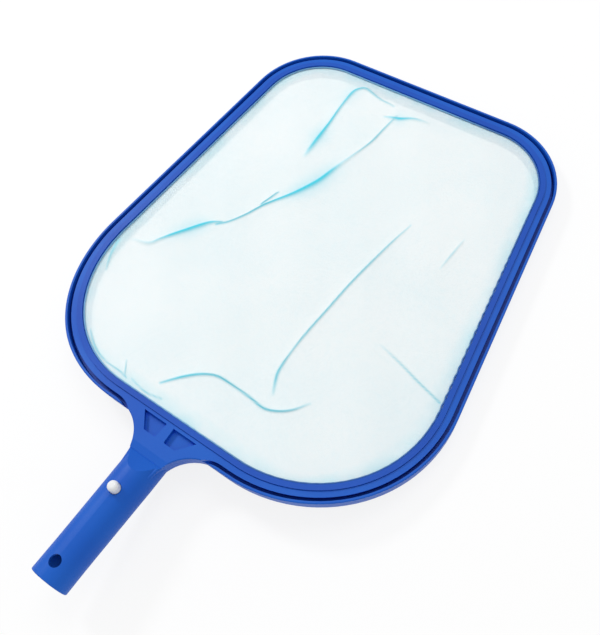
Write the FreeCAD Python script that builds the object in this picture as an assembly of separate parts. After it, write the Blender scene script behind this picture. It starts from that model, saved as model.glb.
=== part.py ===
import FreeCAD, Part
import math
import os
from FreeCAD import Placement, Rotation, Vector

# Leaf skimmer net: a rounded, tapered frame with a fine net stretched across it, a short webbed neck
# and a hollow pole handle with a sprung button. Millimetres, +Z up.
# The origin is the middle of the whole part at the level it rests on. The handle points to -Y.

# Frame outline, seen from above, and how far the handle reaches past it
overall_width = 295.0
ring_length = 337.0
handle_reach = 104.0
shoulder_radius = 99.7
side_taper_deg = 5.83
top_corner_radius = 59.9
band_width = 13.15

# The ring lies flat from the far end to bow_start, bows up to bow_end, then eases to the handle's tilt
bow_start = -3.5
bow_end = -100.5
bow_radius = 368.0
ease_radius = 100.0
handle_tilt_deg = 8.1

# Band section, as levels above the underside and distances in from the outer edge
lip_level = 13.0
lip_width = 1.75
groove_width = 2.25
groove_depth = 6.5
plateau_drop = 1.0
plateau_width = 4.0
slot_depth = 4.0
slot_width = 1.75
shelf_drop = 2.8
channel_wall = 1.9
channel_roof = 2.0
lip_edge_radius = 0.7

# Where the groove swings out and ends beside the neck
groove_turn_half_width = 42.0
groove_turn_radius = 20.0

# Net, its hem and the strip that presses it on the shelf
net_thickness = 0.5
seat_clearance = 0.05
strip_side_clearance = 0.15
strip_overhang = 2.0
hem_width = 1.1
hem_height = 1.1
hem_clearance = 0.1

# Neck
flare_half_width = 38.5
flare_radius = 27.0
flare_inset = 1.0
flare_root_radius = 14.4
web_edge_radius = 0.7
bevel_start = 14.8
bevel_drop = 0.9
notch_start = 19.5
notch_depth = 1.1
notch_end = 30.0
tube_rise = 4.7
tube_drop = 0.1
web_overlap = 4.0
underside_ramp_start = 26.0
underside_ramp_end = 4.0
core_half_width = 9.0
core_start = 9.0
core_roof_drop = 5.5
core_end_wall = 3.0

# Pockets in the neck's face
pocket_inner_top = 2.8
pocket_outer_top = 21.2
pocket_inner_bottom = 3.5
pocket_outer_bottom = 12.6
pocket_top_offset = 4.2
pocket_height = 10.7
pocket_depth = 3.5
pocket_corner_radius = 1.2

# Handle
handle_end_radius = 12.5
handle_neck_radius = 13.2
handle_land = 16.0
handle_taper_end = 70.0
handle_wall = 2.0
socket_depth = 72.0
handle_edge_radius = 0.8

# Holes in the handle's upper wall, measured from the handle's end
pin_hole_from_end = 11.0
button_from_end = 59.5

# Sprung button
button_radius = 3.4
hole_clearance = 0.3
button_travel = 6.5
button_dome_radius = 2.4
flange_lip = 1.0
flange_thickness = 1.0
flange_clearance = 0.09
rivet_radius = 1.5
rivet_head_lip = 0.9
rivet_head_height = 0.8
rivet_clearance = 0.1

# Spring clip inside the handle
clip_width = 8.0
clip_thickness = 0.8
clip_bend_from_end = 22.0
clip_bend_radius = 3.0
clip_tail = 5.0
clip_flat = 7.0
clip_clearance = 0.06

# Reach of the tool bodies that trim the real ones, and how far a cut runs past what it cuts
far = 400.0
cut_margin = 1.0

# How near an edge must lie to a place to be picked for rounding
pick_distance = 0.01

# Derived places and levels
overall_length = ring_length + handle_reach
y_top = overall_length / 2
y_ring = y_top - ring_length
tilt = math.radians(handle_tilt_deg)
bow_angle = math.asin((bow_start - bow_end) / bow_radius)
ease_y = bow_end + ease_radius * (math.sin(tilt) - math.sin(bow_angle))
bow_lift = bow_radius * (1 - math.cos(bow_angle))
ease_lift = bow_lift + ease_radius * (math.cos(tilt) - math.cos(bow_angle))
ring_lift = ease_lift + (ease_y - y_ring) * math.tan(tilt)
groove_start = lip_width
plateau_start = groove_start + groove_width
slot_start = plateau_start + plateau_width
slot_end = slot_start + slot_width
plateau_level = lip_level - plateau_drop
shelf_level = lip_level - shelf_drop
slot_level = lip_level - slot_depth
channel_level = slot_level - channel_roof
net_level = shelf_level + seat_clearance
strip_level = net_level + net_thickness + seat_clearance
strip_end = slot_end + strip_overhang
axis_level = plateau_level + tube_rise - handle_neck_radius
end_drop = (axis_level - handle_end_radius) * math.sin(tilt)
handle_length = (y_ring + y_top + end_drop) / math.cos(tilt)
bore_radius = handle_end_radius - handle_wall
hole_radius = button_radius + hole_clearance
flange_radius = hole_radius + flange_lip
rivet_head_radius = rivet_radius + rivet_head_lip
socket_end = handle_length - socket_depth
neck_place = Placement(Vector(0, y_ring, ring_lift), Rotation(Vector(1, 0, 0), -math.degrees(tilt)))


def solid_between(wire, low, high):
    # Prism of a flat wire between two heights
    face = Part.Face(wire)
    face.translate(Vector(0, 0, low))
    return face.extrude(Vector(0, 0, high - low))


def outline(inset):
    # Closed outline of the frame at a distance in from its outer edge
    taper = math.radians(side_taper_deg)
    out = Vector(math.cos(taper), math.sin(taper), 0)
    low_centre = Vector(overall_width / 2 - shoulder_radius, y_ring + shoulder_radius, 0)
    side_low = low_centre + out * shoulder_radius
    rise = y_top - top_corner_radius - (side_low.y - top_corner_radius * out.y)
    high_centre = side_low - out * top_corner_radius
    high_centre = high_centre + Vector(-math.sin(taper), math.cos(taper), 0) * (rise / math.cos(taper))
    low_radius = shoulder_radius - inset
    high_radius = top_corner_radius - inset
    middle_low = Vector(math.cos(taper / 2 - math.pi / 4), math.sin(taper / 2 - math.pi / 4), 0)
    middle_high = Vector(math.cos(taper / 2 + math.pi / 4), math.sin(taper / 2 + math.pi / 4), 0)
    right = [
        low_centre + Vector(0, -low_radius, 0),
        low_centre + middle_low * low_radius,
        low_centre + out * low_radius,
        high_centre + out * high_radius,
        high_centre + middle_high * high_radius,
        high_centre + Vector(0, high_radius, 0),
    ]
    left = [Vector(-p.x, p.y, 0) for p in reversed(right)]
    edges = [
        Part.Arc(*right[0:3]).toShape(),
        Part.makeLine(right[2], right[3]),
        Part.Arc(*right[3:6]).toShape(),
        Part.makeLine(right[5], left[0]),
        Part.Arc(*left[0:3]).toShape(),
        Part.makeLine(left[2], left[3]),
        Part.Arc(*left[3:6]).toShape(),
        Part.makeLine(left[5], right[0]),
    ]
    return Part.Wire(edges)


def band(outer, inner):
    # Tall wall that follows the frame between two distances in from its edge
    return solid_between(outline(outer), -far, far).cut(solid_between(outline(inner), -far, far))


def level_path(level):
    # Side view of one level: flat, the bow, the ease back, then straight on along the handle
    flat_end = Vector(0, bow_start, level)
    bow_centre = Vector(0, bow_start, bow_radius)
    ease_centre = bow_centre + Vector(0, -math.sin(bow_angle), -math.cos(bow_angle)) * (bow_radius + ease_radius)

    def on_bow(angle):
        return bow_centre + Vector(0, -math.sin(angle), -math.cos(angle)) * (bow_radius - level)

    def on_ease(angle):
        return ease_centre + Vector(0, math.sin(angle), math.cos(angle)) * (ease_radius + level)

    start = Vector(0, far, level)
    finish = on_ease(tilt) + Vector(0, -math.cos(tilt), math.sin(tilt)) * far
    edges = [
        Part.makeLine(start, flat_end),
        Part.Arc(flat_end, on_bow(bow_angle / 2), on_bow(bow_angle)).toShape(),
        Part.Arc(on_bow(bow_angle), on_ease((bow_angle + tilt) / 2), on_ease(tilt)).toShape(),
        Part.makeLine(on_ease(tilt), finish),
    ]
    return start, finish, edges


def layer(low, high):
    # Everything between two levels above the underside
    low_start, low_finish, low_edges = level_path(low)
    high_start, high_finish, high_edges = level_path(high)
    ends = [Part.makeLine(low_finish, high_finish), Part.makeLine(low_start, high_start)]
    wire = Part.Wire(Part.__sortEdges__(low_edges + high_edges + ends))
    face = Part.Face(wire)
    face.translate(Vector(-far, 0, 0))
    return face.extrude(Vector(2 * far, 0, 0))


def neck_prism(points, low, high):
    # Prism over a polygon drawn on the neck's tilted plane, where Y runs towards the ring
    corners = [Vector(x, y, 0) for x, y in points]
    return solid_between(Part.makePolygon(corners + corners[:1]), low, high)


def side_prism(points, half_width):
    # Prism across the neck over a polygon drawn in its side view
    corners = [Vector(-half_width, y, z) for y, z in points]
    return Part.Face(Part.makePolygon(corners + corners[:1])).extrude(Vector(2 * half_width, 0, 0))


def groove_tool():
    # The groove follows the band, then swings out on both sides of the neck
    keep_out = Part.makeBox(2 * groove_turn_half_width, far, 2 * far)
    keep_out.translate(Vector(-groove_turn_half_width, y_ring + plateau_start - far, -far))
    tool = band(groove_start, plateau_start).cut(keep_out)
    for side in (-1, 1):
        centre = Vector(side * groove_turn_half_width, y_ring + plateau_start - groove_turn_radius, -far)
        turn = Part.makeCylinder(groove_turn_radius, 2 * far, centre)
        turn = turn.cut(Part.makeCylinder(groove_turn_radius - groove_width, 2 * far, centre))
        window = Part.makeBox(groove_turn_radius, 2 * plateau_start, 2 * far)
        left = groove_turn_half_width - groove_turn_radius if side > 0 else -groove_turn_half_width
        window.translate(Vector(left, y_ring - plateau_start, -far))
        tool = tool.fuse(turn.common(window))
    return tool


def lip_gap_tool():
    # Beside the groove's two ends the lip gives way to the neck's flat face
    tool = Part.makeBox(2 * groove_turn_half_width, plateau_start + cut_margin, 2 * far)
    tool.translate(Vector(-groove_turn_half_width, y_ring - cut_margin, -far))
    for side in (-1, 1):
        centre = Vector(side * groove_turn_half_width, y_ring + plateau_start - groove_turn_radius, -far)
        tool = tool.cut(Part.makeCylinder(groove_turn_radius, 2 * far, centre))
    return tool


def round_rim(body, level, radius):
    # Rounds the upper edge of every wall that reaches a level
    skin = layer(level - seat_clearance, level + seat_clearance)
    walls = [f for f in body.Faces if abs(f.normalAt(0, 0).z) < pick_distance]
    rim = [e for f in walls for e in f.Edges if skin.isInside(e.discretize(3)[1], pick_distance, True)]
    return body.makeFillet(radius, rim)


def flare_cap_tool():
    # Past the notch the flares sink along a cone into the handle's root
    start = -notch_start
    above = side_prism([(start, axis_level), (start, far), (-far, far), (-far, axis_level)], far)
    base = Vector(0, -notch_end, axis_level)
    length = notch_end - notch_start
    return above.cut(Part.makeCone(handle_neck_radius, flare_root_radius, length, base, Vector(0, 1, 0)))


def neck_web():
    # Flat web between the ring and the handle, with a curved flare on each side
    centre_y = y_ring + flare_inset - flare_radius
    half_tip = flare_half_width - flare_radius
    quarter = flare_radius * math.sin(math.radians(45))
    edges = []
    for side in (1, -1):
        start = Vector(side * flare_half_width, centre_y + flare_radius, 0)
        middle = Vector(side * (flare_half_width - quarter), centre_y + quarter, 0)
        end = Vector(side * half_tip, centre_y, 0)
        back = Vector(side * flare_half_width, y_ring + web_overlap, 0)
        tip = Vector(side * half_tip, y_ring - notch_end, 0)
        edges += [Part.Arc(start, middle, end).toShape(), Part.makeLine(back, start), Part.makeLine(end, tip)]
    for half, y in ((half_tip, y_ring - notch_end), (flare_half_width, y_ring + web_overlap)):
        edges.append(Part.makeLine(Vector(half, y, 0), Vector(-half, y, 0)))
    plan = solid_between(Part.Wire(Part.__sortEdges__(edges)), -far, far)
    web = round_rim(plan.common(layer(0, plateau_level)), plateau_level, web_edge_radius)
    return web.cut(at_neck(flare_cap_tool()))


def rounded_ring():
    # The ring before its grooves, with its outer upper edge rounded
    body = solid_between(outline(0), -far, far).common(layer(0, lip_level))
    body = round_rim(body, lip_level, lip_edge_radius)
    return body.cut(solid_between(outline(band_width), -far, far))


def ring_and_web():
    body = rounded_ring().fuse(neck_web())
    body = body.cut(groove_tool().common(layer(lip_level - groove_depth, far / 2)))
    body = body.cut(lip_gap_tool().common(layer(plateau_level, far / 2)))
    body = body.cut(band(plateau_start, slot_start).common(layer(plateau_level, far / 2)))
    body = body.cut(band(slot_start, slot_end).common(layer(slot_level, far / 2)))
    body = body.cut(band(slot_end, band_width + cut_margin).common(layer(shelf_level, far / 2)))
    channel = band(plateau_start + channel_wall, band_width - channel_wall)
    return body.cut(channel.common(layer(-far / 2, channel_level)))


def handle_body():
    # Straight land at the mouth, a taper, then a plain tube that runs into the web
    along = Vector(0, 1, 0)
    mouth = -handle_length
    land = Part.makeCylinder(handle_end_radius, handle_land, Vector(0, mouth, axis_level), along)
    taper_length = handle_taper_end - handle_land
    taper_base = Vector(0, mouth + handle_land, axis_level)
    taper = Part.makeCone(handle_end_radius, handle_neck_radius, taper_length, taper_base, along)
    root_base = Vector(0, mouth + handle_taper_end, axis_level)
    root = Part.makeCylinder(handle_neck_radius, handle_length - handle_taper_end, root_base, along)
    body = land.fuse([taper, root]).removeSplitter()
    bottom = axis_level - handle_neck_radius
    start = -underside_ramp_start
    ramp = [(start, bottom), (-underside_ramp_end, 0), (far, 0), (far, -far), (start, -far)]
    body = body.cut(side_prism(ramp, far))
    under_face = plateau_level - tube_drop
    over_end = -bevel_start - cut_margin
    over_face = [(over_end, under_face), (far, under_face), (far, far), (over_end, far)]
    body = body.cut(side_prism(over_face, far))
    edges = [e for e in body.Edges if abs(e.BoundBox.YMax - mouth) < pick_distance]
    return body.makeFillet(handle_edge_radius, edges)


def notch_tool():
    # Shallow cut across the neck, where the tube's upper end slopes down to the flat face
    crown = plateau_level + tube_rise
    deep = plateau_level - notch_depth
    slope = (crown - deep) / (notch_end - notch_start)
    high = crown + far / 10
    corners = [
        (-bevel_start, plateau_level),
        (-notch_start, plateau_level - bevel_drop),
        (-notch_start, deep),
        (-notch_start - (high - deep) / slope, high),
        (-bevel_start, high),
    ]
    return side_prism(corners, far)


def pocket(side):
    top = pocket_top_offset
    bottom = top - pocket_height
    points = [
        (side * pocket_inner_top, top),
        (side * pocket_outer_top, top),
        (side * pocket_outer_bottom, bottom),
        (side * pocket_inner_bottom, bottom),
    ]
    body = neck_prism(points, plateau_level - pocket_depth, lip_level + cut_margin)
    low_edges = [e for e in body.Edges if e.BoundBox.YMax < bottom + pick_distance]
    low = [e for e in low_edges if e.BoundBox.ZLength > pocket_depth]
    return body.makeFillet(pocket_corner_radius, low)


def upright(radius, from_end, low, high):
    # Cylinder square to the handle, on its centre line, between two levels from the handle's axis
    base = Vector(0, from_end - handle_length, axis_level + low)
    return Part.makeCylinder(radius, high - low, base, Vector(0, 0, 1))


def at_neck(shape):
    # Moves a shape from the neck's tilted plane to its place on the part
    shape.Placement = neck_place
    return shape


def frame():
    core_end = socket_end - core_end_wall
    core_corners = [(-core_half_width, -core_start), (core_half_width, -core_start)]
    core_corners += [(core_half_width, -core_end), (-core_half_width, -core_end)]
    core = neck_prism(core_corners, -far, plateau_level - core_roof_drop)
    socket_base = Vector(0, -handle_length - cut_margin, axis_level)
    socket = Part.makeCylinder(bore_radius, socket_depth + cut_margin, socket_base, Vector(0, 1, 0))
    holes = [upright(hole_radius, place, 0, far / 10) for place in (pin_hole_from_end, button_from_end)]
    tools = [notch_tool(), core, socket, pocket(-1), pocket(1)] + holes
    body = ring_and_web().fuse(at_neck(handle_body()))
    return body.cut([at_neck(tool) for tool in tools]).removeSplitter()


def retaining_strip():
    # L section: an outer leg in the slot and an inner leg on the net
    top = layer(strip_level, lip_level)
    leg_layer = layer(slot_level + seat_clearance, lip_level)
    leg = band(slot_start + strip_side_clearance, slot_end - strip_side_clearance).common(leg_layer)
    return leg.fuse(band(slot_end - strip_side_clearance, strip_end).common(top)).removeSplitter()


def net():
    sheet = solid_between(outline(slot_end + strip_side_clearance), -far, far)
    return sheet.common(layer(net_level, net_level + net_thickness))


def net_hem():
    start = strip_end + hem_clearance
    return band(start, start + hem_width).common(layer(strip_level, strip_level + hem_height))


def outer_radius_at(from_end):
    # Radius of the handle's taper at a distance from its end
    part = (from_end - handle_land) / (handle_taper_end - handle_land)
    return handle_end_radius + (handle_neck_radius - handle_end_radius) * part


def flange_top():
    return math.sqrt(bore_radius ** 2 - flange_radius ** 2) - flange_clearance


def snap_button():
    top = outer_radius_at(button_from_end) + button_travel
    under = flange_top() - flange_thickness
    stem_end = under - clip_thickness - 2 * rivet_clearance
    barrel = upright(button_radius, button_from_end, under, top)
    rim = [e for e in barrel.Edges if abs(e.BoundBox.ZMin - axis_level - top) < pick_distance]
    barrel = barrel.makeFillet(button_dome_radius, rim)
    flange = upright(flange_radius, button_from_end, under, flange_top())
    stem = upright(rivet_radius, button_from_end, stem_end - rivet_head_height, under)
    head = upright(rivet_head_radius, button_from_end, stem_end - rivet_head_height, stem_end)
    body = barrel.fuse([flange, stem, head]).removeSplitter()
    return at_neck(body)


def clip_leg(start, end):
    # Flat strip between two points of the side view, with a round joint at each end
    half = clip_thickness / 2
    along = (end - start).normalize()
    across = Vector(0, -along.z, along.y) * half
    corners = [start + across, end + across, end - across, start - across]
    leg = side_prism([(c.y, c.z) for c in corners], clip_width / 2)
    for point in (start, end):
        joint = Part.makeCylinder(half, clip_width, point - Vector(clip_width / 2, 0, 0), Vector(1, 0, 0))
        leg = leg.fuse(joint)
    return leg


def button_spring():
    half = clip_thickness / 2
    low = axis_level - math.sqrt(bore_radius ** 2 - (clip_width / 2) ** 2) + clip_clearance + half
    high = axis_level + flange_top() - flange_thickness - rivet_clearance - half
    bend = clip_bend_from_end + clip_bend_radius - handle_length
    tail = button_from_end + clip_tail - handle_length
    flat = button_from_end - clip_flat - handle_length
    centre = Vector(-clip_width / 2, bend, low + clip_bend_radius)
    curl = Part.makeCylinder(clip_bend_radius + half, clip_width, centre, Vector(1, 0, 0))
    curl = curl.cut(Part.makeCylinder(clip_bend_radius - half, clip_width, centre, Vector(1, 0, 0)))
    open_side = Part.makeBox(clip_width, far, far)
    open_side.translate(Vector(-clip_width / 2, bend, -far / 2))
    curl = curl.cut(open_side)
    rise_start = Vector(0, bend, low + 2 * clip_bend_radius)
    legs = [
        clip_leg(Vector(0, bend, low), Vector(0, tail, low)),
        clip_leg(rise_start, Vector(0, flat, high)),
        clip_leg(Vector(0, flat, high), Vector(0, tail, high)),
    ]
    hole = upright(rivet_radius + rivet_clearance, button_from_end, 0, far / 10)
    body = curl.fuse(legs).removeSplitter().cut(hole)
    return at_neck(body)


pieces = {
    "frame": frame,
    "net_retaining_strip": retaining_strip,
    "net": net,
    "net_hem": net_hem,
    "snap_button": snap_button,
    "button_spring": button_spring,
}

os.makedirs("parts", exist_ok=True)
for name, make in pieces.items():
    shape = make()
    shape.exportStep("parts/" + name + ".step")
    box = shape.BoundBox
    print(name, "solids", len(shape.Solids), "valid", shape.isValid(), "volume", round(shape.Volume))
    print("  x %.2f %.2f y %.2f %.2f z %.2f %.2f" % (box.XMin, box.XMax, box.YMin, box.YMax, box.ZMin, box.ZMax))
print("tilt %.2f degrees, ring lift %.2f, handle length %.2f" % (math.degrees(tilt), ring_lift, handle_length))
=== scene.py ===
import bpy
import bmesh
import math
import numpy as np
from mathutils import Matrix, Vector
from mathutils.geometry import interpolate_bezier


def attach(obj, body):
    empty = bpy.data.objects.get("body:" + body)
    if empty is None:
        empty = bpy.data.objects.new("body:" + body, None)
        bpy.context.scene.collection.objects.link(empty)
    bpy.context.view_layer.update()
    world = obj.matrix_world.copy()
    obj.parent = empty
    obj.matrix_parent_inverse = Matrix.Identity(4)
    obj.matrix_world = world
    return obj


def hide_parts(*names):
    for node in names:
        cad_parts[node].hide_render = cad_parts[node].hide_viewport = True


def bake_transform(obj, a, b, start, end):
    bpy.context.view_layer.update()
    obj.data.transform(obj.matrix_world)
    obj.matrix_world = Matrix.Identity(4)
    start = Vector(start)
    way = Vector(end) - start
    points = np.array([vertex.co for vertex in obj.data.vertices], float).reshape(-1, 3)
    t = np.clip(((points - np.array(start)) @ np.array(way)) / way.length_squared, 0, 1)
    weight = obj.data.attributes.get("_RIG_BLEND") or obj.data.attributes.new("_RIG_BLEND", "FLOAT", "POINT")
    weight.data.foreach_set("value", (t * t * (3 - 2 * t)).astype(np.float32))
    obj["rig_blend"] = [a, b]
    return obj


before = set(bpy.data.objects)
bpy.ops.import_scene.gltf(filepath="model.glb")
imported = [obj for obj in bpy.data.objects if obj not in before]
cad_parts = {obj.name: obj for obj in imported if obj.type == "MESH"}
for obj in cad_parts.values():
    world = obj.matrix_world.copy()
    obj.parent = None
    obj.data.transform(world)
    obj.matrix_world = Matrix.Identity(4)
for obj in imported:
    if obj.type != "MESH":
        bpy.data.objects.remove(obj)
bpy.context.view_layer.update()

mm = 0.001
print("frame loaded:", ", ".join(sorted(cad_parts)))

# The frame's own shape, in millimetres
ring = {
    "width": 295.0,
    "top": 220.5,
    "bottom": -116.5,
    "shoulderRadius": 99.7,
    "sideTaper": math.radians(5.83),
    "cornerRadius": 59.9,
    "bowStart": -3.5,
    "bowEnd": -100.5,
    "bowRadius": 368.0,
    "easeRadius": 100.0,
    "tilt": math.radians(8.1),
}

cameraView = {
    "azimuth": 46.528,
    "elevation": 64.361,
    "roll": -13.964,
    "distance": 0.44129,
    "target": (0.01859, 0.00305, 0.0),
    "lens": 35.181,
    "sensor": 36.0,  # along the picture's long side
}

studio = {
    "keyPlace": (-1.12, 0.24, 1.05),
    "keySize": 0.28,
    "keyPower": 8.3,
    "fillPlace": (0.9, -0.8, 1.1),
    "fillSize": 1.4,
    "fillPower": 1.5,
    "topPlace": (-0.1, 0.7, 1.45),
    "topSize": 0.8,
    "topPower": 4.8,
    "worldStrength": 0.56,
    "floorSize": 14.0,
    "floorTone": (0.95, 0.95, 0.95, 1),
    "floorWhite": 1.02,
    "floorGlow": 0.8,  # share of the floor's white that shadow doesn't darken
}


def ringCentres():
    # Centres of the right shoulder's and corner's arcs, in millimetres
    taper = ring["sideTaper"]
    lowX = ring["width"] / 2 - ring["shoulderRadius"]
    lowY = ring["bottom"] + ring["shoulderRadius"]
    sideX = lowX + ring["shoulderRadius"] * math.cos(taper)
    sideY = lowY + ring["shoulderRadius"] * math.sin(taper)
    highY = ring["top"] - ring["cornerRadius"]
    rise = highY - sideY + ring["cornerRadius"] * math.sin(taper)
    highX = sideX - ring["cornerRadius"] * math.cos(taper) - rise * math.tan(taper)
    return lowX, lowY, highX, highY


def halfWidth(y, inset):
    # Half the width of the outline at each y, at a distance in from the edge
    lowX, lowY, highX, highY = ringCentres()
    taper = ring["sideTaper"]
    lowRadius = ring["shoulderRadius"] - inset
    highRadius = ring["cornerRadius"] - inset
    lowEnd = lowY + lowRadius * math.sin(taper)
    highEnd = highY + highRadius * math.sin(taper)
    side = lowX + lowRadius * math.cos(taper) - (y - lowEnd) * math.tan(taper)
    low = lowX + np.sqrt(np.clip(lowRadius ** 2 - (y - lowY) ** 2, 0, None))
    high = highX + np.sqrt(np.clip(highRadius ** 2 - (y - highY) ** 2, 0, None))
    return np.where(y < lowEnd, low, np.where(y > highEnd, high, side))


def bowHeight(y, level):
    # Height of a level of the ring above the ground: flat, the bow, the ease back, then straight
    tilt = ring["tilt"]
    turn = math.asin((ring["bowStart"] - ring["bowEnd"]) / ring["bowRadius"])
    bow = ring["bowRadius"] - level
    ease = ring["easeRadius"] + level
    centreY = ring["bowStart"] - (ring["bowRadius"] + ring["easeRadius"]) * math.sin(turn)
    centreZ = ring["bowRadius"] - (ring["bowRadius"] + ring["easeRadius"]) * math.cos(turn)
    onBow = ring["bowRadius"] - np.sqrt(np.clip(bow ** 2 - (ring["bowStart"] - y) ** 2, 0, None))
    onEase = centreZ + np.sqrt(np.clip(ease ** 2 - (y - centreY) ** 2, 0, None))
    easeEnd = centreY + ease * math.sin(tilt)
    onLine = centreZ + ease * math.cos(tilt) + (easeEnd - y) * math.tan(tilt)
    height = np.where(y > easeEnd, onEase, onLine)
    height = np.where(y > ring["bowStart"] - bow * math.sin(turn), onBow, height)
    return np.where(y > ring["bowStart"], level, height)


def outlinePath(inset, step=1.5):
    # Points along the whole outline at a distance in from the edge, in millimetres
    lowX, lowY, highX, highY = ringCentres()
    taper = ring["sideTaper"]
    right = []
    for centreX, centreY, radius, start, end in (
        (lowX, lowY, ring["shoulderRadius"] - inset, -math.pi / 2, taper),
        (highX, highY, ring["cornerRadius"] - inset, taper, math.pi / 2),
    ):
        count = max(8, int(radius * (end - start) / step))
        for i in range(count + 1):
            angle = start + (end - start) * i / count
            right.append((centreX + radius * math.cos(angle), centreY + radius * math.sin(angle)))
    corners = right + [(-x, y) for x, y in reversed(right)]
    path = []
    for (x0, y0), (x1, y1) in zip(corners, corners[1:] + corners[:1]):
        pieces = max(1, int(math.hypot(x1 - x0, y1 - y0) / step))
        path += [(x0 + (x1 - x0) * i / pieces, y0 + (y1 - y0) * i / pieces) for i in range(pieces)]
    return path


def addPiece(name, mesh, material, body):
    piece = bpy.data.objects.new(name, mesh)
    bpy.context.scene.collection.objects.link(piece)
    piece.data.materials.clear()
    piece.data.materials.append(material)
    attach(piece, body)
    return piece


# Materials

def addNode(tree, kind, place=(0, 0), **values):
    node = tree.nodes.new(kind)
    node.location = place
    for key, value in values.items():
        if key.startswith("in_"):
            node.inputs[int(key[3:])].default_value = value
        else:
            setattr(node, key, value)
    return node


def newGroup(name, inputs, outputs):
    group = bpy.data.node_groups.new(name, "ShaderNodeTree")
    for title, kind, value in inputs:
        socket = group.interface.new_socket(title, in_out="INPUT", socket_type=kind)
        socket.default_value = value
    for title, kind in outputs:
        group.interface.new_socket(title, in_out="OUTPUT", socket_type=kind)
    start = addNode(group, "NodeGroupInput", (-900, 0))
    end = addNode(group, "NodeGroupOutput", (700, 0))
    return group, start, end


def mathNode(tree, operation, first, second=None, place=(0, 0), third=None, clamp=False):
    node = addNode(tree, "ShaderNodeMath", place, operation=operation, use_clamp=clamp)
    for i, value in enumerate((first, second, third)):
        if value is None:
            continue
        if isinstance(value, (int, float)):
            node.inputs[i].default_value = value
        else:
            tree.links.new(value, node.inputs[i])
    return node.outputs[0]


def mixColour(tree, factor, first, second, place=(0, 0), blend="MIX"):
    node = addNode(tree, "ShaderNodeMix", place, data_type="RGBA", blend_type=blend)
    for socket, value in ((node.inputs[0], factor), (node.inputs[6], first), (node.inputs[7], second)):
        if isinstance(value, (int, float, tuple)):
            socket.default_value = value
        else:
            tree.links.new(value, socket)
    return node.outputs[2]


def spread(tree, value, low, high, toLow, toHigh, place=(0, 0)):
    node = addNode(tree, "ShaderNodeMapRange", place)
    tree.links.new(value, node.inputs[0])
    for i, number in enumerate((low, high, toLow, toHigh)):
        node.inputs[i + 1].default_value = number
    return node.outputs[0]


mould = {
    "slowScale": 14.0,  # slow change of tone
    "flowScale": 9.0,
    "flowBend": 6.0,
    "flowDepth": 0.16,
    "scratchStretch": (260.0, 22.0, 90.0),
    "scratchTurn": 0.4,
    "scratchRough": 0.12,
    "roughness": (0.42, 0.52),
    "paleSaturation": 0.82,  # of rubbed spots, beside the tone
    "paleValue": 1.25,
}


def makeMouldGroup():
    # Moulded plastic: slow change of tone, faint flow lines, fine grain and light rub marks
    group, start, end = newGroup(
        "mouldedPlastic",
        [("Tone", "NodeSocketColor", (0.1, 0.1, 0.1, 1)), ("Deep", "NodeSocketColor", (0, 0, 0, 1)),
         ("Grain", "NodeSocketFloat", 900.0), ("Rub", "NodeSocketFloat", 0.3)],
        [("Color", "NodeSocketColor"), ("Roughness", "NodeSocketFloat"), ("Height", "NodeSocketFloat")],
    )
    link = group.links.new
    where = addNode(group, "ShaderNodeTexCoord", (-900, 300)).outputs["Object"]
    slow = addNode(group, "ShaderNodeTexNoise", (-650, 300))
    slow.inputs["Scale"].default_value = mould["slowScale"]
    slow.inputs["Detail"].default_value = 3.0
    link(where, slow.inputs["Vector"])
    flow = addNode(group, "ShaderNodeTexWave", (-650, 0), wave_type="BANDS", bands_direction="Y")
    flow.inputs["Scale"].default_value = mould["flowScale"]
    flow.inputs["Distortion"].default_value = mould["flowBend"]
    flow.inputs["Detail"].default_value = 2.0
    link(where, flow.inputs["Vector"])
    grain = addNode(group, "ShaderNodeTexNoise", (-650, -300))
    grain.inputs["Detail"].default_value = 4.0
    link(where, grain.inputs["Vector"])
    link(start.outputs["Grain"], grain.inputs["Scale"])
    scratch = addNode(group, "ShaderNodeTexNoise", (-650, -550))
    scratch.inputs["Detail"].default_value = 8.0
    scratch.inputs["Roughness"].default_value = 0.75
    stretch = addNode(group, "ShaderNodeMapping", (-820, -550))
    stretch.inputs["Scale"].default_value = mould["scratchStretch"]
    stretch.inputs["Rotation"].default_value = (0.0, 0.0, mould["scratchTurn"])
    link(where, stretch.inputs["Vector"])
    link(stretch.outputs[0], scratch.inputs["Vector"])
    scratch.inputs["Scale"].default_value = 1.0
    marks = spread(group, scratch.outputs[0], 0.62, 0.74, 0.0, 1.0, (-420, -550))
    marks = mathNode(group, "MULTIPLY", marks, start.outputs["Rub"], (-220, -550))
    depth = spread(group, slow.outputs[0], 0.35, 0.68, 0.55, 0.0, (-420, 300))
    streaks = spread(group, flow.outputs[1], 0.0, 1.0, 0.0, mould["flowDepth"], (-420, 0))
    depth = mathNode(group, "ADD", depth, streaks, (-220, 200))
    tone = mixColour(group, depth, start.outputs["Tone"], start.outputs["Deep"], (0, 200))
    pale = addNode(group, "ShaderNodeHueSaturation", (0, 420))
    pale.inputs["Saturation"].default_value = mould["paleSaturation"]
    pale.inputs["Value"].default_value = mould["paleValue"]
    link(start.outputs["Tone"], pale.inputs["Color"])
    tone = mixColour(group, marks, tone, pale.outputs[0], (220, 200))
    link(tone, end.inputs["Color"])
    rough = spread(group, grain.outputs[0], 0.3, 0.7, *mould["roughness"], (0, -100))
    rough = mathNode(group, "MULTIPLY_ADD", marks, mould["scratchRough"], (220, -100), rough)
    link(rough, end.inputs["Roughness"])
    height = mathNode(group, "MULTIPLY_ADD", slow.outputs[0], 2.5, (0, -320), grain.outputs[0])
    link(height, end.inputs["Height"])
    return group


weaveLook = {
    "wobbleScale": 60.0,
    "wobble": (0.0009, 0.0009, 0.0),  # how far threads stray, in metres
    "threadEdge": 5.0,
}


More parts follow.
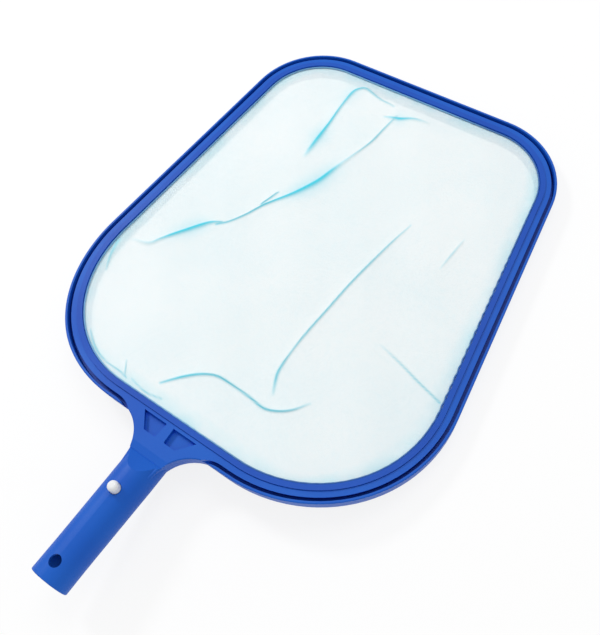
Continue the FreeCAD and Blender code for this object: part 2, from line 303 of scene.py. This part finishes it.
def makeWeaveGroup():
    # Plain weave in flat coordinates: how much of each spot is thread, and the thread's height
    group, start, end = newGroup(
        "plainWeave",
        [("Pitch", "NodeSocketFloat", 0.0011), ("Thread", "NodeSocketFloat", 0.5),
         ("Vector", "NodeSocketVector", (0, 0, 0))],
        [("Cover", "NodeSocketFloat"), ("Height", "NodeSocketFloat"), ("Shade", "NodeSocketFloat")],
    )
    link = group.links.new
    wobble = addNode(group, "ShaderNodeTexNoise", (-900, -300))
    wobble.inputs["Scale"].default_value = weaveLook["wobbleScale"]
    wobble.inputs["Detail"].default_value = 2.0
    link(start.outputs["Vector"], wobble.inputs["Vector"])
    shift = addNode(group, "ShaderNodeVectorMath", (-720, -300), operation="MULTIPLY_ADD")
    link(wobble.outputs[1], shift.inputs[0])
    shift.inputs[1].default_value = weaveLook["wobble"]
    link(start.outputs["Vector"], shift.inputs[2])
    split = addNode(group, "ShaderNodeSeparateXYZ", (-560, -100))
    link(shift.outputs[0], split.inputs[0])
    waves = []
    for i in range(2):
        turns = mathNode(group, "DIVIDE", split.outputs[i], start.outputs["Pitch"], (-400, -220 * i))
        angle = mathNode(group, "MULTIPLY", turns, 2 * math.pi, (-250, -220 * i))
        wave = mathNode(group, "COSINE", angle, None, (-100, -220 * i))
        waves.append(spread(group, wave, -1.0, 1.0, 0.0, 1.0, (50, -220 * i)))
    threads = []
    for i, wave in enumerate(waves):
        edge = mathNode(group, "SUBTRACT", 1.0, start.outputs["Thread"], (200, 300 - 160 * i))
        over = mathNode(group, "SUBTRACT", wave, edge, (350, 300 - 160 * i))
        cover = mathNode(group, "MULTIPLY", over, weaveLook["threadEdge"], (500, 300 - 160 * i), clamp=True)
        threads.append(cover)
    cover = mathNode(group, "MAXIMUM", threads[0], threads[1], (650, 250))
    height = mathNode(group, "MAXIMUM", waves[0], waves[1], (650, 0))
    shade = mathNode(group, "MULTIPLY", waves[0], waves[1], (650, -150))
    link(cover, end.inputs["Cover"])
    link(height, end.inputs["Height"])
    link(shade, end.inputs["Shade"])
    return group


def newMaterial(name):
    material = bpy.data.materials.new(name)
    material.use_nodes = True
    tree = material.node_tree
    tree.nodes.clear()
    output = addNode(tree, "ShaderNodeOutputMaterial", (600, 0))
    shader = addNode(tree, "ShaderNodeBsdfPrincipled", (300, 0))
    tree.links.new(shader.outputs[0], output.inputs[0])
    return material, tree, shader


mouldGroup = makeMouldGroup()
weaveGroup = makeWeaveGroup()

# Painted shade where the plastic is shut in: narrow grooves are painted a saturated blue, and the bore is
# painted dark inside
paintedShade = {
    "groove": (0.15, 0.6),  # openness at which the painted groove shade is full and gone
    "grooveShadePaint": 0.9,
    "bore": (0.08, 0.18),
    "boreShadePaint": 0.85,
    "boreReach": 0.04,
}

# In each plastic, the two colours after tone and deep are painted shade: one for narrow grooves, one for
# inside the bore
plastics = {
    "frameBlue": {
        "tone": (0.006, 0.118, 0.58, 1),
        "deep": (0.002, 0.078, 0.50, 1),
        "grooveShadeTone": (0.0, 0.085, 0.85, 1),
        "inside": (0.0, 0.012, 0.10, 1),
        "grooveShadeReach": 0.0045,
        "grain": 1100.0,
        "rub": 0.12,
        "bump": 0.00006,
        "coat": 0.0,
        "gloss": 0.26,
    },
    "stripBlue": {
        "tone": (0.005, 0.088, 0.51, 1),
        "deep": (0.002, 0.06, 0.43, 1),
        "grooveShadeTone": (0.0, 0.075, 0.75, 1),
        "inside": (0.0, 0.012, 0.10, 1),
        "grooveShadeReach": 0.003,
        "grain": 1300.0,
        "rub": 0.1,
        "bump": 0.00005,
        "coat": 0.0,
        "gloss": 0.26,
    },
    "buttonWhite": {
        "tone": (0.90, 0.91, 0.92, 1),
        "deep": (0.84, 0.86, 0.88, 1),
        "grooveShadeTone": (0.25, 0.28, 0.34, 1),
        "inside": (0.35, 0.38, 0.44, 1),
        "grooveShadeReach": 0.0015,
        "grain": 1600.0,
        "rub": 0.0,
        "bump": 0.00002,
        "coat": 0.3,
        "gloss": 0.5,
    },
}


def makePlastic(name):
    look = plastics[name]
    material, tree, shader = newMaterial(name)
    group = addNode(tree, "ShaderNodeGroup", (-200, 100))
    group.node_tree = mouldGroup
    for title in ("Tone", "Deep", "Grain", "Rub"):
        group.inputs[title].default_value = look[title.lower()]
    # Painted shade: ambient occlusion tints narrow grooves to their painted blue and darkens the inside of
    # the bore
    openness = addNode(tree, "ShaderNodeAmbientOcclusion", (-450, 350), samples=8)
    openness.inputs["Distance"].default_value = look["grooveShadeReach"]
    grooveShade = spread(tree, openness.outputs["AO"], *paintedShade["groove"], paintedShade["grooveShadePaint"], 0.0, (-200, 350))
    tone = mixColour(tree, grooveShade, group.outputs["Color"], look["grooveShadeTone"], (60, 250))
    hollow = addNode(tree, "ShaderNodeAmbientOcclusion", (-450, 600), samples=8, only_local=True)
    hollow.inputs["Distance"].default_value = paintedShade["boreReach"]
    dark = spread(tree, hollow.outputs["AO"], *paintedShade["bore"], paintedShade["boreShadePaint"], 0.0, (-200, 600))
    tone = mixColour(tree, dark, tone, look["inside"], (180, 400))
    tree.links.new(tone, shader.inputs["Base Color"])
    tree.links.new(group.outputs["Roughness"], shader.inputs["Roughness"])
    shader.inputs["Specular IOR Level"].default_value = look["gloss"]
    bump = addNode(tree, "ShaderNodeBump", (60, -250))
    bump.inputs["Strength"].default_value = 0.5
    bump.inputs["Distance"].default_value = look["bump"]
    tree.links.new(group.outputs["Height"], bump.inputs["Height"])
    tree.links.new(bump.outputs[0], shader.inputs["Normal"])
    shader.inputs["Coat Weight"].default_value = look["coat"]
    return material


steelLook = {
    "dark": (0.5, 0.5, 0.52, 1),
    "light": (0.68, 0.68, 0.69, 1),
    "brush": (2500.0, 60.0, 60.0),
    "roughness": (0.25, 0.42),
}


def makeSteel():
    material, tree, shader = newMaterial("springSteel")
    where = addNode(tree, "ShaderNodeTexCoord", (-800, 0)).outputs["Object"]
    brush = addNode(tree, "ShaderNodeMapping", (-620, 0))
    brush.inputs["Scale"].default_value = steelLook["brush"]
    lines = addNode(tree, "ShaderNodeTexNoise", (-430, 0))
    lines.inputs["Scale"].default_value = 1.0
    lines.inputs["Detail"].default_value = 3.0
    tree.links.new(where, brush.inputs["Vector"])
    tree.links.new(brush.outputs[0], lines.inputs["Vector"])
    rough = spread(tree, lines.outputs[0], 0.3, 0.7, *steelLook["roughness"], (-200, -100))
    tree.links.new(rough, shader.inputs["Roughness"])
    tone = mixColour(tree, lines.outputs[0], steelLook["dark"], steelLook["light"], (-200, 150))
    tree.links.new(tone, shader.inputs["Base Color"])
    shader.inputs["Metallic"].default_value = 1.0
    return material


netLook = {
    "thread": (0.925, 0.99, 1.0, 1),
    "shade": (0.77, 0.925, 0.965, 1),
    "rim": (0.56, 0.88, 0.94, 1),  # painted cyan bounce light from the band on the sheet beside it
    # Creases: the doubled sheet, with painted shade in and around them
    "foldAndShade": (0.03, 0.66, 0.83, 1),
    "crimp": (0.07, 0.45, 0.56, 1),  # painted shadow of narrow creases
    "speckScale": 520.0,
    "specks": 0.35,  # uneven tightness of the fine mesh
    "pitch": 0.0006,
    "threadShare": 0.62,
    "holeCover": 0.46,  # the fine holes never read as fully open
    "bump": 0.00025,
    "cloudScale": 13.0,
    "clouds": 0.4,
    "patchScale": 45.0,  # patches of the painted cyan bounce light beside the band
}


def makeNetMaterial():
    material, tree, shader = newMaterial("netMesh")
    where = addNode(tree, "ShaderNodeTexCoord", (-900, 0)).outputs["Object"]
    weave = addNode(tree, "ShaderNodeGroup", (-650, -100))
    weave.node_tree = weaveGroup
    weave.inputs["Pitch"].default_value = netLook["pitch"]
    weave.inputs["Thread"].default_value = netLook["threadShare"]
    tree.links.new(where, weave.inputs["Vector"])
    foldAndShade = addNode(tree, "ShaderNodeAttribute", (-650, 250), attribute_name="foldAndShade")
    cloud = addNode(tree, "ShaderNodeTexNoise", (-650, 480))
    cloud.inputs["Scale"].default_value = netLook["cloudScale"]
    cloud.inputs["Detail"].default_value = 4.0
    cloud.inputs["Distortion"].default_value = 0.6
    tree.links.new(where, cloud.inputs["Vector"])
    tint = spread(tree, cloud.outputs[0], 0.36, 0.66, 0.0, netLook["clouds"], (-430, 480))
    rim = addNode(tree, "ShaderNodeAttribute", (-650, 900), attribute_name="rim")
    crimp = addNode(tree, "ShaderNodeAttribute", (-650, 1100), attribute_name="crimp")
    speck = addNode(tree, "ShaderNodeTexNoise", (-900, 700))
    speck.inputs["Scale"].default_value = netLook["speckScale"]
    speck.inputs["Detail"].default_value = 2.0
    tree.links.new(where, speck.inputs["Vector"])
    specks = spread(tree, speck.outputs[0], 0.45, 0.7, 0.0, netLook["specks"], (-650, 700))
    tint = mathNode(tree, "ADD", tint, specks, (-340, 600), clamp=True)
    tone = mixColour(tree, tint, netLook["thread"], netLook["shade"], (-250, 500))
    patch = addNode(tree, "ShaderNodeTexNoise", (-900, 950))
    patch.inputs["Scale"].default_value = netLook["patchScale"]
    patch.inputs["Detail"].default_value = 5.0
    tree.links.new(where, patch.inputs["Vector"])
    uneven = spread(tree, patch.outputs[0], 0.35, 0.65, 0.3, 1.1, (-650, 950))
    # Painted cyan bounce light from the band, broken into patches
    bandBounceMix = mathNode(tree, "MULTIPLY", rim.outputs["Fac"], uneven, (-250, 900), clamp=True)
    tone = mixColour(tree, bandBounceMix, tone, netLook["rim"], (-100, 500))
    # Creases: doubled sheet with painted shade, and painted shadow in narrow ones
    tone = mixColour(tree, foldAndShade.outputs["Fac"], tone, netLook["foldAndShade"], (60, 400))
    tone = mixColour(tree, crimp.outputs["Fac"], tone, netLook["crimp"], (60, 200))
    tree.links.new(tone, shader.inputs["Base Color"])
    cover = spread(tree, weave.outputs["Cover"], 0.0, 1.0, netLook["holeCover"], 1.0, (-430, -100))
    cover = mathNode(tree, "ADD", cover, foldAndShade.outputs["Fac"], (-250, -100), clamp=True)
    tree.links.new(cover, shader.inputs["Alpha"])
    bump = addNode(tree, "ShaderNodeBump", (-60, -350))
    bump.inputs["Strength"].default_value = 0.35
    bump.inputs["Distance"].default_value = netLook["bump"]
    tree.links.new(weave.outputs["Height"], bump.inputs["Height"])
    tree.links.new(bump.outputs[0], shader.inputs["Normal"])
    shader.inputs["Roughness"].default_value = 0.75
    shader.inputs["Sheen Weight"].default_value = 0.15
    return material


hemLook = {
    "tone": (0.03, 0.12, 0.40, 1),
    "pale": (0.09, 0.25, 0.55, 1),
    "flat": (0.20, 0.46, 0.74, 1),  # lighter tone where x is small, darker to the right
    "lighterFromX": (0.02, 0.07),  # x over which the hem turns to the lighter tone, across the net, in metres
    "twist": 700.0,
}


def makeHemMaterial():
    material, tree, shader = newMaterial("hemCord")
    where = addNode(tree, "ShaderNodeTexCoord", (-800, 0)).outputs["Object"]
    twist = addNode(tree, "ShaderNodeTexWave", (-560, 0), wave_type="BANDS", bands_direction="DIAGONAL")
    twist.inputs["Scale"].default_value = hemLook["twist"]
    twist.inputs["Distortion"].default_value = 1.5
    tree.links.new(where, twist.inputs["Vector"])
    tone = mixColour(tree, twist.outputs[1], hemLook["tone"], hemLook["pale"], (-250, 100))
    split = addNode(tree, "ShaderNodeSeparateXYZ", (-560, 300))
    tree.links.new(where, split.inputs[0])
    # The hem is darker to the right and lighter to the left, by x alone
    calm, gathered = hemLook["lighterFromX"]
    leftward = spread(tree, split.outputs[0], gathered, calm, 0.0, 1.0, (-250, 300))
    tone = mixColour(tree, leftward, tone, hemLook["flat"], (-60, 200))
    tree.links.new(tone, shader.inputs["Base Color"])
    bump = addNode(tree, "ShaderNodeBump", (-60, -250))
    bump.inputs["Strength"].default_value = 0.6
    bump.inputs["Distance"].default_value = 0.0002
    tree.links.new(twist.outputs[1], bump.inputs["Height"])
    tree.links.new(bump.outputs[0], shader.inputs["Normal"])
    shader.inputs["Roughness"].default_value = 0.7
    return material


cadLooks = {
    "frame": makePlastic("frameBlue"),
    "net_retaining_strip": makePlastic("stripBlue"),
    "snap_button": makePlastic("buttonWhite"),
}
for node, material in cadLooks.items():
    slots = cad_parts[node].data.materials
    slots.clear()
    slots.append(material)
print("materials ready")


# The spring clip: its lower leaf stays on the handle's wall, its upper leaf goes in with the button

clip = {
    "lowLeaf": 5.5,  # places along the button's travel, in millimetres from the origin
    "highLeaf": -10.3,
    "merge": 0.001,
    "sharpAngle": math.radians(35),
}


def makeClip(material):
    bm = bmesh.new()
    bm.from_mesh(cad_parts["button_spring"].data)
    bmesh.ops.remove_doubles(bm, verts=bm.verts, dist=clip["merge"] * mm)
    mesh = bpy.data.meshes.new("springClip")
    bm.to_mesh(mesh)
    bm.free()
    mesh.shade_smooth()
    mesh.set_sharp_from_angle(angle=clip["sharpAngle"])
    mesh.materials.clear()
    mesh.materials.append(material)
    piece = bpy.data.objects.new("spring_clip", mesh)
    bpy.context.scene.collection.objects.link(piece)
    travel = Vector((0, -math.sin(ring["tilt"]), -math.cos(ring["tilt"])))
    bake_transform(piece, "head", "button",
             start=travel * clip["lowLeaf"] * mm, end=travel * clip["highLeaf"] * mm)
    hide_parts("button_spring")


makeClip(makeSteel())
print("spring clip ready")


# The net: a fine sheet held all round, with the creases that it was packed with

net = {
    "inset": 10.1,
    "level": 10.5,
    "columns": 300,
    "rows": 322,
    "slack": 0.5,  # slow waves of the sheet, in millimetres
    "edgeSide": 12.6,  # where the sheet leaves the band, in from the outline
    "edgeEnd": 13.0,
    "edgeFade": 6.0,
    # Crease colour: the doubling, then painted shade spread around wide creases
    "creaseTint": 1.2,
    "creaseShadeTint": 0.3,
    # Painted cyan bounce light from the band, on the sheet within this width of its edge
    "rimWidth": 11.0,
    "rimTint": 0.9,
    "narrow": 1.3,  # creases under this half width get painted shadow
    "crimpTint": 0.6,
    "crimpFade": 0.4,
    "endTaper": 7.0,  # a crease rises and falls over one part in so many of its length
    "endFade": 5.0,
    "soft": (1.0, 0.0),  # reach of a crease's sides: share of its half width, and millimetres more
    "sharp": (0.5, 0.25),
    "shoulder": (4.5, 1.0),
    "creaseShade": (2.6, 2.2),
    "shoulderHeight": 0.35,
}

# Each crease: its height, then points as x, y, half width in millimetres and how much it is doubled
creases = [
    (1.0, [(-17, 195, 0.6, 0.3), (-32, 196.5, 0.8, 0.5), (-46, 200.5, 1.0, 0.6),
           (-52, 197, 1.4, 0.7), (-54.7, 190, 1.7, 0.75), (-54.8, 172, 1.2, 0.7),
           (-53.8, 156, 1.4, 0.9), (-53.4, 138, 2.2, 1.0), (-53, 126, 2.2, 0.7),
           (-52.5, 115, 2.0, 0.0)]),
    (0.8, [(17, 192, 1.0, 0.0), (3.5, 190.3, 1.2, 0.5), (-7, 185.3, 1.8, 0.9),
           (-18, 182.5, 1.2, 0.3)]),
    (0.9, [(-10, 187, 1.0, 0.4), (-12.2, 172, 0.9, 0.5), (-14, 156, 0.8, 0.6),
           (-17.5, 143, 0.9, 0.35), (-23, 127, 1.8, 0.25), (-26.5, 116, 2.2, 0.7),
           (-30, 104, 2.5, 1.0), (-35, 93, 2.4, 1.0), (-41, 82.5, 1.8, 1.0),
           (-49.5, 70.8, 1.2, 0.9), (-55.4, 62, 0.9, 0.8), (-61.2, 50, 0.9, 0.65),
           (-68.6, 38.5, 0.9, 0.6), (-76, 31.5, 1.1, 0.6)]),
    (1.1, [(-73, 35.5, 0.8, 0.5), (-80, 31, 1.6, 0.8), (-86, 24.5, 2.0, 0.85),
           (-92, 16.5, 2.0, 0.9), (-99.5, 6.5, 1.6, 0.85), (-105.4, -1.5, 1.3, 0.5),
           (-111, -8.5, 1.5, 0.25), (-124, -11.5, 1.3, 0.1)]),
    (0.7, [(-51.3, 79, 0.8, 0.5), (-53.5, 72, 0.8, 0.7), (-56.5, 63.5, 0.8, 0.7)]),
    (0.8, [(-133.5, -18, 1.6, 0.4), (-130.5, -28, 1.1, 0.45), (-127, -36, 0.8, 0.4),
           (-123, -43, 0.7, 0.2)]),
    (0.9, [(50.5, 103, 0.6, 0.2), (46, 84, 0.7, 0.45), (41.7, 60.5, 0.8, 0.55),
           (37.9, 37, 0.8, 0.6), (35, 13, 0.8, 0.6), (32.6, -7.5, 0.8, 0.6), (31.7, -25, 0.7, 0.5),
           (32.3, -40, 1.1, 0.7), (34.4, -47, 1.0, 0.7), (39, -56.5, 1.0, 0.2)]),
    (0.5, [(89, 111, 0.7, 0.1), (87.3, 96, 0.8, 0.3), (85.8, 82, 0.8, 0.1)]),
    (0.6, [(80, 11, 0.7, 0.1), (99, 5.8, 0.7, 0.35), (114, 1, 0.7, 0.45), (132, -4, 0.7, 0.4)]),
    (1.2, [(-26.5, -91, 1.0, 0.5), (-18.6, -81, 1.2, 0.8), (-11.2, -73.5, 1.2, 0.75),
           (-3.9, -68.5, 1.0, 0.7), (3.5, -66.2, 0.9, 0.75), (16.7, -66.2, 0.8, 0.65),
           (28.5, -66.8, 0.8, 0.65), (40.2, -68, 0.9, 0.7), (49.1, -64.7, 0.9, 0.65),
           (56.4, -58.8, 0.9, 0.5), (63, -49, 0.9, 0.15)]),
    (0.6, [(-95, -87, 0.5, 0.25), (-81.8, -95, 0.5, 0.4), (-68.6, -99, 0.5, 0.35),
           (-56, -99.5, 0.5, 0.4), (-48, -100.5, 0.6, 0.4)]),
    (0.5, [(-57, -91, 0.5, 0.2), (-53.5, -95, 0.5, 0.35), (-50, -99.5, 0.5, 0.35)]),
    (0.5, [(-44, -99.5, 0.6, 0.2), (-30, -101.5, 0.6, 0.4), (-18, -99.5, 0.6, 0.25)]),
]


def smoothLine(points, perRun=6):
    # Smooth line through the points of a crease, given in the plane
    whole = [Vector(p) for p in points]
    whole = [2 * whole[0] - whole[1]] + whole + [2 * whole[-1] - whole[-2]]
    line = []
    for before, start, end, after in zip(whole, whole[1:], whole[2:], whole[3:]):
        leave = start + (end - before) / 6
        arrive = end - (after - start) / 6
        run = interpolate_bezier(start, leave, arrive, end, perRun)
        line += [tuple(p) for p in run[:-1]]
    return np.array(line + [tuple(whole[-2])])


def nearLine(x, y, line):
    # Signed distance from a line of points, and how far along it the nearest spot lies, 0 to 1
    best = np.full(x.shape, 1e9)
    side = np.ones(x.shape)
    along = np.zeros(x.shape)
    lengths = np.hypot(*(line[1:] - line[:-1]).T)
    total = lengths.sum()
    passed = 0.0
    for start, end, length in zip(line[:-1], line[1:], lengths):
        direction = (end - start) / length
        reach = np.clip((x - start[0]) * direction[0] + (y - start[1]) * direction[1], 0, length)
        offX, offY = x - start[0] - reach * direction[0], y - start[1] - reach * direction[1]
        distance = np.hypot(offX, offY)
        closer = distance < best
        best = np.where(closer, distance, best)
        side = np.where(closer, np.sign(direction[0] * offY - direction[1] * offX), side)
        along = np.where(closer, (passed + reach) / total, along)
        passed += length
    return best * side, along


def swell(distance, width, reach):
    # One on the line, falling off to both sides
    share, more = reach
    return np.exp(-(distance / (share * width + more)) ** 2)


def netHeights(x, y):
    # Height of the sheet above its flat level in millimetres, and, 0 to 1: doubling with painted shade at
    # the creases, painted shadow of narrow creases, and painted cyan bounce light beside the band
    ends = np.minimum(ring["top"] - net["edgeEnd"] - y, y - ring["bottom"] - net["edgeEnd"])
    edge = np.minimum(halfWidth(y, net["edgeSide"]) - np.abs(x), ends)
    inside = np.clip(edge / net["edgeFade"], 0, 1)
    waves = np.sin(x * 0.045 + 0.8) * np.sin(y * 0.038 + 0.3) + 0.5 * np.sin(x * 0.11 + y * 0.07)
    height = net["slack"] * waves * inside
    foldAndShade = np.zeros(x.shape)
    crimp = np.zeros(x.shape)
    # Painted cyan bounce light, strongest beside the band
    rim = net["rimTint"] * np.clip(1 - edge / net["rimWidth"], 0, 1)
    for rise, points in creases:
        table = np.array(points)
        line = smoothLine([point[:2] for point in points])
        distance, along = nearLine(x, y, line)
        shares = np.linspace(0, 1, len(line))
        lengths = np.concatenate(([0], np.cumsum(np.hypot(*(line[1:] - line[:-1]).T))))
        place = np.interp(along, lengths / lengths[-1], shares) * (len(points) - 1)
        width = np.interp(place, range(len(points)), table[:, 2])
        doubled = np.interp(place, range(len(points)), table[:, 3])
        taper = np.clip(np.minimum(along, 1 - along) * net["endTaper"], 0, 1) ** 0.7
        soft, sharp, shoulder, cloud = (swell(distance, width, net[reach])
                                        for reach in ("soft", "sharp", "shoulder", "creaseShade"))
        ridge = np.where(distance > 0, soft, sharp)
        height += rise * taper * (ridge + net["shoulderHeight"] * shoulder) * inside
        # The doubled sheet on the ridge, and painted shade around wide creases
        tint = np.clip(net["creaseTint"] * doubled, 0, 1) * ridge
        creaseShade = net["creaseShadeTint"] * doubled * np.clip(width - 1, 0, 1) * cloud
        fade = np.clip(along * net["endFade"], 0, 1) * np.clip((1 - along) * net["endFade"], 0, 1)
        foldAndShade = np.maximum(foldAndShade, tint * (1 - creaseShade) + creaseShade * fade)
        # Painted shadow in narrow creases
        pinched = np.clip((net["narrow"] - width) / net["crimpFade"], 0, 1)
        crimp = np.maximum(crimp, net["crimpTint"] * tint * pinched)
    return height, foldAndShade, crimp, rim


def makeNet(material):
    low = ring["bottom"] + net["inset"]
    high = ring["top"] - net["inset"]
    bm = bmesh.new()
    bmesh.ops.create_grid(bm, x_segments=net["columns"], y_segments=net["rows"], size=1.0)
    bm.verts.ensure_lookup_table()
    u = np.array([v.co.x for v in bm.verts])
    v = np.array([v.co.y for v in bm.verts])
    y = low + (high - low) * (v + 1) / 2
    x = u * halfWidth(y, net["inset"])
    height, *tints = netHeights(x, y)
    z = bowHeight(y, net["level"]) + height
    titles = ("foldAndShade", "crimp", "rim")
    for title in titles:
        bm.verts.layers.float.new(title)
    layers = [bm.verts.layers.float[title] for title in titles]
    bm.verts.ensure_lookup_table()
    for vert, place, shares in zip(bm.verts, np.column_stack((x, y, z)) * mm, np.column_stack(tints)):
        vert.co = place
        for layer, share in zip(layers, shares):
            vert[layer] = share
    bmesh.ops.recalc_face_normals(bm, faces=bm.faces)
    mesh = bpy.data.meshes.new("leafNet")
    bm.to_mesh(mesh)
    bm.free()
    mesh.shade_smooth()
    piece = addPiece("leaf_net", mesh, material, "head")
    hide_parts("net")
    return piece


hem = {
    "inset": 12.4,
    "level": 11.35,
    "radius": 0.55,
    "waveLength": 7.0,
    "wave": 0.28,
    "calmWave": 0.05,
    "lift": 0.25,  # share of the wave that goes up and down
    "gatherSide": 40.0,  # gathered beyond this far to the right, and between these two along the net
    "gatherRise": 60.0,
    "gatherFade": 20.0,
    "gatherLow": -25.0,
    "gatherHigh": 125.0,
}


def makeHem(material):
    # Rolled edge of the net, wavy where the sheet is gathered along the right side
    curve = bpy.data.curves.new("netHem", "CURVE")
    curve.dimensions = "3D"
    curve.bevel_depth = hem["radius"] * mm
    curve.bevel_resolution = 3
    path = outlinePath(hem["inset"], 1.4)
    spline = curve.splines.new("POLY")
    spline.points.add(len(path) - 1)
    spline.use_cyclic_u = True
    travelled = 0.0
    for i, (x, y) in enumerate(path):
        nextX, nextY = path[(i + 1) % len(path)]
        length = math.hypot(nextX - x, nextY - y)
        normalX, normalY = (nextY - y) / length, -(nextX - x) / length
        along = min(y - hem["gatherLow"], hem["gatherHigh"] - y) / hem["gatherFade"]
        gathered = max(0.0, min(1.0, (x - hem["gatherSide"]) / hem["gatherRise"], along))
        size = hem["calmWave"] + (hem["wave"] - hem["calmWave"]) * gathered
        wave = size * math.sin(2 * math.pi * travelled / hem["waveLength"])
        z = float(bowHeight(np.array(y), hem["level"])) + hem["lift"] * wave
        spline.points[i].co = ((x - wave * normalX) * mm, (y - wave * normalY) * mm, z * mm, 1)
        travelled += length
    holder = bpy.data.objects.new("hemCurve", curve)
    mesh = bpy.data.meshes.new_from_object(holder)
    bpy.data.objects.remove(holder)
    mesh.shade_smooth()
    piece = addPiece("net_edge_cord", mesh, material, "head")
    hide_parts("net_hem")
    return piece


leafNet = makeNet(makeNetMaterial())
netCord = makeHem(makeHemMaterial())


# Studio: white floor, soft light from the left and from above the far end, weaker fill from the right

def makeFloorMaterial():
    material, tree, shader = newMaterial("studioFloor")
    shader.inputs["Base Color"].default_value = studio["floorTone"]
    shader.inputs["Roughness"].default_value = 0.9
    shader.inputs["Specular IOR Level"].default_value = 0.0
    glow = addNode(tree, "ShaderNodeEmission", (300, -300))
    glow.inputs["Strength"].default_value = studio["floorWhite"]
    rays = addNode(tree, "ShaderNodeLightPath", (-200, -300))
    seen, mirrored = rays.outputs["Is Camera Ray"], rays.outputs["Is Glossy Ray"]
    seen = mathNode(tree, "MAXIMUM", seen, mirrored, (0, -300))
    seen = mathNode(tree, "MULTIPLY", seen, studio["floorGlow"], (150, -300))
    mix = addNode(tree, "ShaderNodeMixShader", (500, -150))
    tree.links.new(seen, mix.inputs[0])
    tree.links.new(shader.outputs[0], mix.inputs[1])
    tree.links.new(glow.outputs[0], mix.inputs[2])
    tree.links.new(mix.outputs[0], tree.nodes["Material Output"].inputs[0])
    return material


def makeFloor():
    bm = bmesh.new()
    bmesh.ops.create_grid(bm, x_segments=1, y_segments=1, size=studio["floorSize"] / 2)
    mesh = bpy.data.meshes.new("studioFloor")
    bm.to_mesh(mesh)
    bm.free()
    floor = bpy.data.objects.new("studio_floor", mesh)
    bpy.context.scene.collection.objects.link(floor)
    mesh.materials.append(makeFloorMaterial())


def addLamp(name, place, size, power):
    lamp = bpy.data.lights.new(name, "AREA")
    lamp.shape = "DISK"
    lamp.size = size
    lamp.energy = power
    holder = bpy.data.objects.new(name, lamp)
    holder.location = place
    holder.rotation_euler = (-Vector(place)).to_track_quat("-Z", "Y").to_euler()
    bpy.context.scene.collection.objects.link(holder)


def makeWorld():
    world = bpy.data.worlds.new("studioWorld")
    bpy.context.scene.world = world
    world.use_nodes = True
    tree = world.node_tree
    tree.nodes.clear()
    output = addNode(tree, "ShaderNodeOutputWorld", (400, 0))
    light = addNode(tree, "ShaderNodeBackground", (0, 100))
    light.inputs[1].default_value = studio["worldStrength"]
    seen = addNode(tree, "ShaderNodeBackground", (0, -100))
    seen.inputs[1].default_value = 1.0
    for node in (light, seen):
        node.inputs[0].default_value = (1, 1, 1, 1)
    rays = addNode(tree, "ShaderNodeLightPath", (-200, 200))
    mix = addNode(tree, "ShaderNodeMixShader", (200, 0))
    tree.links.new(rays.outputs["Is Camera Ray"], mix.inputs[0])
    tree.links.new(light.outputs[0], mix.inputs[1])
    tree.links.new(seen.outputs[0], mix.inputs[2])
    tree.links.new(mix.outputs[0], output.inputs[0])


def makeCamera():
    azimuth, elevation, roll = (math.radians(cameraView[k]) for k in ("azimuth", "elevation", "roll"))
    turn = Matrix.Rotation(azimuth, 4, "Z") @ Matrix.Rotation(math.pi / 2 - elevation, 4, "X")
    turn = turn @ Matrix.Rotation(roll, 4, "Z")
    lens = bpy.data.cameras.new("photoCamera")
    lens.lens = cameraView["lens"]
    lens.sensor_width = cameraView["sensor"]
    lens.clip_start = 0.01
    camera = bpy.data.objects.new("photo_camera", lens)
    back = turn @ Vector((0, 0, 1))
    place = Vector(cameraView["target"]) + back * cameraView["distance"]
    camera.matrix_world = Matrix.Translation(place) @ turn
    bpy.context.scene.collection.objects.link(camera)
    bpy.context.scene.camera = camera


makeFloor()
for lampName in ("key", "fill", "top"):
    addLamp(lampName, *(studio[lampName + part] for part in ("Place", "Size", "Power")))
makeWorld()
makeCamera()
bpy.context.scene.view_settings.view_transform = "Standard"
print("studio ready")
